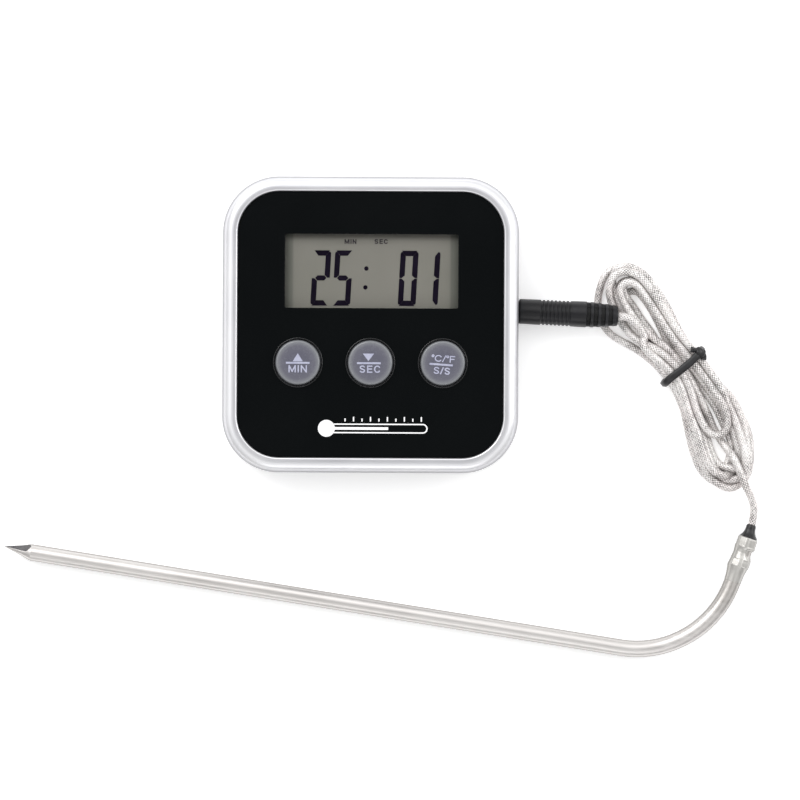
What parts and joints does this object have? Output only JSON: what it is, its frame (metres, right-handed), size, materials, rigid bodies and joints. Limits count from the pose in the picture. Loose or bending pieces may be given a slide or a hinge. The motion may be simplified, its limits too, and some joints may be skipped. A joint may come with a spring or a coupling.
{
  "type": "probe cooking thermometer",
  "caption": "Digital cooking thermometer and timer: square display unit with folding stand and magnets, and a bent stainless probe on a braided, plug-in lead.",
  "frame": {"origin": "centre of the display unit's back face, on the plane that the unit rests on", "axes": "+X to the display's right, towards the jack; +Y to its top edge; +Z out of the display"},
  "size_m": [0.181, 0.1142, 0.0185],
  "materials": {
    "silver_plastic": "satin silver paint on moulded ABS",
    "black_panel": "gloss black sheet",
    "black_plastic": "fine spark-eroded texture",
    "clear_lens": "clear acrylic",
    "lcd": "grey-green reflective liquid crystal cell",
    "smoke_key": "translucent smoke grey, polished",
    "dome_rubber": "pale silicone",
    "zebra_rubber": "pink silicone with a conductive core",
    "circuit_laminate": "green solder mask",
    "epoxy": "black encapsulant",
    "brass": "plain",
    "plated_steel": "nickel plated",
    "battery_label": null,
    "wire_insulation": "PVC",
    "plug_rubber": "moulded soft PVC",
    "braid": null,
    "tie_plastic": "plastic-covered wire",
    "cap_rubber": "black silicone",
    "stainless": "satin ground stainless steel",
    "magnet_nickel": "nickel plated, dull"
  },
  "bodies": {
    "display_unit": {"front_housing": "silver_plastic", "front_panel": "black_panel", "display_window": "clear_lens", "lcd_glass": "lcd", "lcd_reflector": "plated_steel", "zebra_strip": "zebra_rubber", "dome_minutes": "dome_rubber", "dome_seconds": "dome_rubber", "dome_mode": "dome_rubber", "circuit_board": "circuit_laminate", "chip_blob": "epoxy", "quartz_crystal": "plated_steel", "buzzer": "brass", "board_screws": "plated_steel", "case_screws": "plated_steel", "back_cover": "black_plastic", "magnets": "magnet_nickel", "battery": "battery_label", "battery_spring": "plated_steel", "positive_contact": "plated_steel", "negative_contact": "plated_steel", "hookup_wires": "wire_insulation", "mode_switch_body": "plated_steel", "probe_jack": "black_plastic", "jack_contacts": "plated_steel"},
    "minutes_key": {"button_minutes": "smoke_key"},
    "seconds_key": {"button_seconds": "smoke_key"},
    "mode_key": {"button_mode": "smoke_key"},
    "stand": {"stand": "black_plastic"},
    "battery_cover": {"battery_cover": "black_plastic"},
    "mode_switch": {"mode_switch_knob": "black_plastic"},
    "probe_lead": {"plug_tip": "plated_steel", "plug_insulator": "epoxy", "plug_sleeve": "plated_steel", "plug_boot": "plug_rubber", "cable_lead": "braid", "cable_hank": "braid", "cable_tail": "braid", "twist_tie": "tie_plastic", "probe_cap": "cap_rubber", "probe_ferrule": "stainless", "probe_tube": "stainless", "probe_tip": "stainless", "thermistor": "epoxy", "sensor_wires": "wire_insulation"}
  },
  "joints": [
    {"name": "press_minutes", "type": "slide", "parent": "display_unit", "child": "minutes_key", "axis": [0, 0, -1], "range_m": [0, 0.0008], "stiffness_N_per_m": 900, "springref_m": -0.0008, "deforming": ["dome_minutes"]},
    {"name": "press_seconds", "type": "slide", "parent": "display_unit", "child": "seconds_key", "axis": [0, 0, -1], "range_m": [0, 0.0008], "stiffness_N_per_m": 900, "springref_m": -0.0008, "deforming": ["dome_seconds"]},
    {"name": "press_mode", "type": "slide", "parent": "display_unit", "child": "mode_key", "axis": [0, 0, -1], "range_m": [0, 0.0008], "stiffness_N_per_m": 900, "springref_m": -0.0008, "deforming": ["dome_mode"]},
    {"name": "stand_fold", "type": "hinge", "parent": "display_unit", "child": "stand", "pos_m": [0, 0.0095, 0.0012], "axis": [1, 0, 0], "range_deg": [0, 36]},
    {"name": "battery_cover_slide", "type": "slide", "parent": "display_unit", "child": "battery_cover", "axis": [0, 1, 0], "range_m": [0, 0.019]},
    {"name": "mode_switch_slide", "type": "slide", "parent": "display_unit", "child": "mode_switch", "axis": [0, 1, 0], "range_m": [0, 0.003]},
    {"name": "plug_pull", "type": "slide", "parent": "display_unit", "child": "probe_lead", "axis": [0.9991, -0.0419, 0], "range_m": [0, 0.014]}
  ]
}
